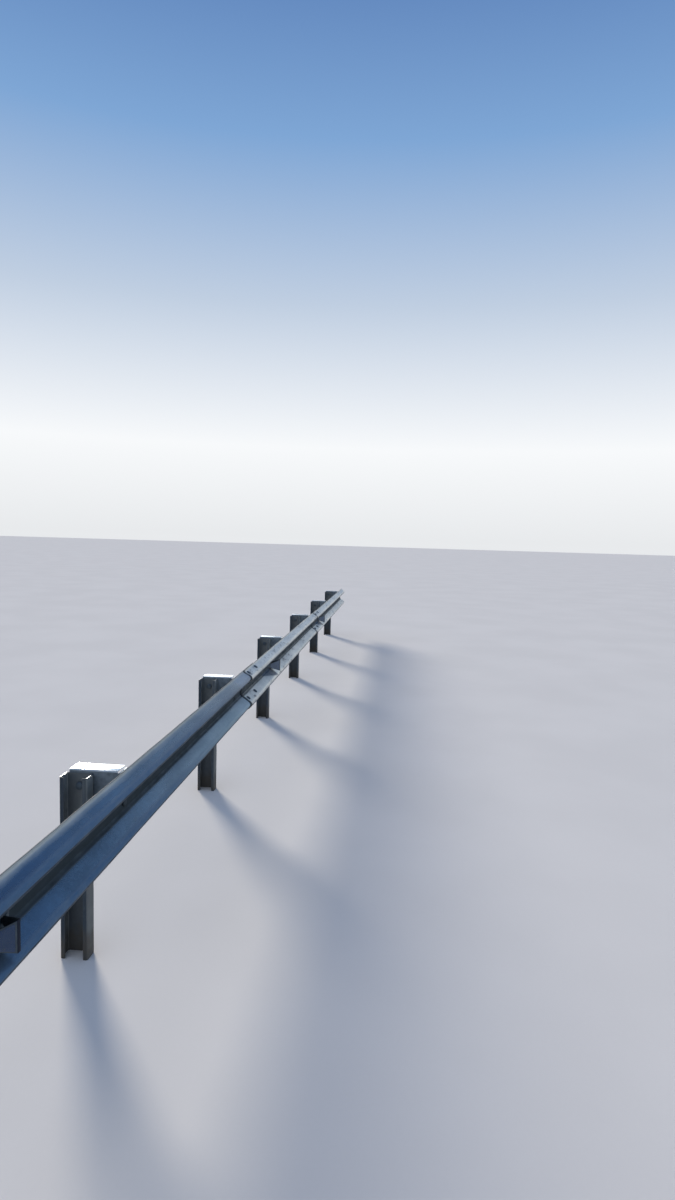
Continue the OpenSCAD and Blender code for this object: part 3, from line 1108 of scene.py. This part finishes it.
# retroreflecting film on both wings of each reflector
film = {
    "inset": 0.004,  # from the folds
    "footInset": 0.018,  # more at the foot
    "margin": 0.0035,  # from the slanted edges
    "corner": 0.004,
    "thick": 0.0004,
    "lift": 0.00005,  # of its face's edge above the sheet,
    "sunk": 0.0002,  # and depth of its back in it
    "pillow": 12,  # the face is flat almost to its edges
    "grid": 24,
    "gloss": 0.16,
    "metal": 0.4,
    "coat": 0.4,
    "coatRough": 0.06,
    "cell": 330.0,  # pattern cells to the metre
    "cellLine": (0.10, 0.03),
    "lineRough": 0.25,
    "relief": (0.0003, 0.3),
    # painted shade: the film's colours are those of a white film, darkened as in shade
    "silver": (0.024, 0.062, 0.146, 1),
    "back": (0.075, 0.120, 0.205, 1),
    "backShare": 0.25,
    "line": (0.04, 0.055, 0.08, 1),
    "fresh": (0.34, 0.40, 0.44, 1),  # the far ones have kept more of their brightness
    "freshFrom": (2.0, 4.5),
    "freshShare": 0.2,
    "hazeShare": 0.35,
    "hazeRough": 0.4,
    "hazeMetal": 0.35,
    "hazeCoat": 0.3,
}


def filmMaterial():
    f = film
    finish = Finish("filmFace", Coat_Roughness=f["coatRough"])
    honey = finish.cells(f["cell"], "Distance", "DISTANCE_TO_EDGE")
    line = honey.step(*f["cellLine"])
    haze = finish.patches("filmHaze") * f["hazeShare"]
    colour = finish.blend(finish.patches("filmTint") * f["backShare"], f["silver"], f["back"])
    colour = finish.blend(line, colour, f["line"])
    colour = finish.blend(finish.x.step(*f["freshFrom"]) * f["freshShare"], colour, f["fresh"])
    colour = finish.blend(haze, colour, (*coats["dustAndShade"][0], 1))
    finish.set(Base_Color=colour, Roughness=f["gloss"] + line * f["lineRough"] + haze * f["hazeRough"],
               Metallic=f["metal"] - haze * f["hazeMetal"], Coat_Weight=f["coat"] - haze * f["hazeCoat"])
    finish.bump(honey, *f["relief"])
    return finish.material


def filmPanel(name, x, side):
    # a trapezoid laid on a wing: u runs up the slant from foot to strip, v across it
    r, f = reflector, film
    lean = rad(r["wing"])
    # in (x, y): up the wing from its foot, and away from its hollow side
    slant = np.array([side * -cos(lean), -sin(lean)])
    out = np.array([side * sin(lean), -cos(lean)])
    foot = np.array([x + side * (r["strip"] / 2 + wingRun),
                     beamBack(x) - beam["sheet"] - run["gap"] - r["sheet"] / 2])
    start = foot + slant * (r["bend"] + r["sheet"] / 2) * tan(lean / 2) + out * r["sheet"] / 2
    u = np.linspace(f["inset"] + f["footInset"], wingStraight - f["inset"], f["grid"])
    v = np.linspace(-1, 1, f["grid"])
    # the wing keeps its foot's height up to the neck, then widens up to the strip
    neck = 3 * r["sheet"]
    grown = (u * sin(lean) - neck) / (wingRise - neck)
    halfWide = (r["footHeight"] + grown * (r["height"] - r["footHeight"])) / 2 - f["margin"]
    # rounded corners: the half width falls by a quarter circle near both ends
    halfWide = halfWide - rounding(u, f["corner"])
    plan = start[None] + u[:, None] * slant[None]
    height = valleyZ + halfWide[:, None] * v[None]
    pillow = f["thick"] * (1 - np.abs(v) ** f["pillow"])[None] * np.ones((len(u), 1)) + f["lift"]

    def layer(lift):
        return np.stack([plan[:, None, 0] + out[0] * lift, plan[:, None, 1] + out[1] * lift, height], -1)

    piece = shell(name, layer(pillow), layer(np.full_like(pillow, -f["sunk"])))
    smoothed(piece)
    return piece


filmFace = filmMaterial()
for number, x in enumerate(reflector["places"]):
    for side, word in ((-1, "near"), (1, "far")):
        panel = filmPanel(f"reflector_{number + 1}_film_{word}", x, side)
        settle(panel, filmFace, "reflector_sheet")
print("films laid")


# floor, light and camera
studio = {
    "floor": (0.64, 0.63, 0.61, 1),
    "floorShade": 0.93,  # of it, where it is darker
    "floorShares": (0.6, 0.3),  # of its clouds and its grain
    "grainScale": 60.0,
    "floorRough": (0.85, 0.1),  # and how much the grain adds
    "floorRelief": (0.001, 0.15),
    "floorSize": 240.0,
    "floorThick": 0.02,
    "floorGrid": 19,
    "sky": 0.85,
    "skyTones": {  # by the height of the direction looked in, from 0 to 1
        0.0: (0.95, 0.97, 0.99, 1),
        0.12: (1.10, 1.12, 1.14, 1),
        0.30: (0.62, 0.73, 0.89, 1),
        0.47: (0.25, 0.45, 0.78, 1),
        0.62: (0.12, 0.25, 0.56, 1),
        0.90: (0.03, 0.09, 0.27, 1),
    },
    "aim": (3.0, 0, 0.5),  # where the lamps point
}

# kind, degrees to the left of the run's direction, rise, how far off, the light's settings, and the
# holder's rays that don't see it
lamps = {
    # low behind the barrier
    "sun": ("SUN", 32.0, 18.0, 20.0,
            {"angle": rad(14.0), "energy": 5.0, "color": (1.0, 0.90, 0.77)}, ()),
    # wide and low ahead, seen only in what is glossy
    "softbox": ("AREA", 22.0, 14.0, 50.0,
                {"shape": "RECTANGLE", "size": 22.0, "size_y": 15.0, "energy": 3000.0,
                 "color": (1.0, 0.98, 0.95)}, ("camera", "diffuse")),
    # soft and white from high up, kept out of reflections
    "fill": ("SUN", 160.0, 75.0, 20.0, {"angle": rad(60.0), "energy": 0.7}, ("glossy",)),
}


def floorPiece():
    s = studio
    finish = Finish("floorPale", Specular_IOR_Level=0.0)
    grain = finish.noise(s["grainScale"])
    share = mixed((finish.patches("floor"), grain), s["floorShares"])
    darker = tuple(c * s["floorShade"] for c in s["floor"][:3]) + (1,)
    rough, more = s["floorRough"]
    finish.set(Base_Color=finish.blend(share, darker, s["floor"]), Roughness=rough + grain * more)
    finish.bump(grain, *s["floorRelief"])
    places = np.linspace(-s["floorSize"] / 2, s["floorSize"] / 2, s["floorGrid"])
    x, y = np.meshgrid(places + cadBox[1].x / 2, places, indexing="ij")
    top = np.stack([x, y, np.zeros_like(x)], -1)
    piece = shell("floor", top, top - [0, 0, s["floorThick"]])
    piece.data.materials.append(finish.material)


def bearing(left, rise):
    # unit vector so many degrees to the left of the run's direction, and so many up
    left, rise = rad(left), rad(rise)
    return Vector((cos(left) * cos(rise), sin(left) * cos(rise), sin(rise)))


def sky():
    world = bpy.data.worlds.new("sky")
    scene.world = world
    world.use_nodes = True
    tree = world.node_tree
    back = tree.nodes["Background"]
    place = tree.nodes.new("ShaderNodeTexCoord")
    split = tree.nodes.new("ShaderNodeSeparateXYZ")
    ramp = tree.nodes.new("ShaderNodeValToRGB")
    stops = ramp.color_ramp.elements
    stops.remove(stops[1])
    for height, tone in studio["skyTones"].items():
        stop = stops[0] if height == 0 else stops.new(height)
        stop.position, stop.color = height, tone
    tree.links.new(place.outputs["Generated"], split.inputs[0])
    tree.links.new(split.outputs["Z"], ramp.inputs[0])
    tree.links.new(ramp.outputs[0], back.inputs["Color"])
    back.inputs["Strength"].default_value = studio["sky"]


def lights():
    for name, (kind, left, rise, far, settings, unseen) in lamps.items():
        light = bpy.data.lights.new(name, kind)
        holder = linked(name, light)
        way = bearing(left, rise)
        holder.location = Vector(studio["aim"]) + way * far
        holder.rotation_euler = way.to_track_quat("Z", "Y").to_euler()
        for key, value in settings.items():
            setattr(light, key, value)
        for ray in unseen:
            setattr(holder, "visible_" + ray, False)


# the photograph's camera, found from the barrier's own lines; angles in degrees
shot = {
    "at": (-0.7797, -1.3198, 1.8153),
    "left": 5.144,  # of the run's direction
    "down": 5.222,
    "roll": 1.624,
    "focal": 703.3,  # in pixels of the 675 by 1200 picture
    "tall": 1200,
    "sensor": 36.0,
    "farthest": 300,
}
scene.view_settings.view_transform = "Standard"


def camera():
    data = bpy.data.cameras.new("camera")
    data.sensor_width = shot["sensor"]
    data.lens = shot["focal"] * shot["sensor"] / shot["tall"]
    data.clip_end = shot["farthest"]
    eye = linked("camera", data)
    left, roll = rad(shot["left"]), rad(shot["roll"])
    forward = bearing(shot["left"], -shot["down"])
    level = Vector((sin(left), -cos(left), 0))
    up = level.cross(forward)
    right = level * cos(roll) + up * sin(roll)
    turned = Matrix((right, right.cross(forward), -forward)).transposed()
    eye.matrix_world = Matrix.Translation(shot["at"]) @ turned.to_4x4()
    scene.camera = eye


floorPiece()
sky()
lights()
camera()
print("floor, light and camera set")
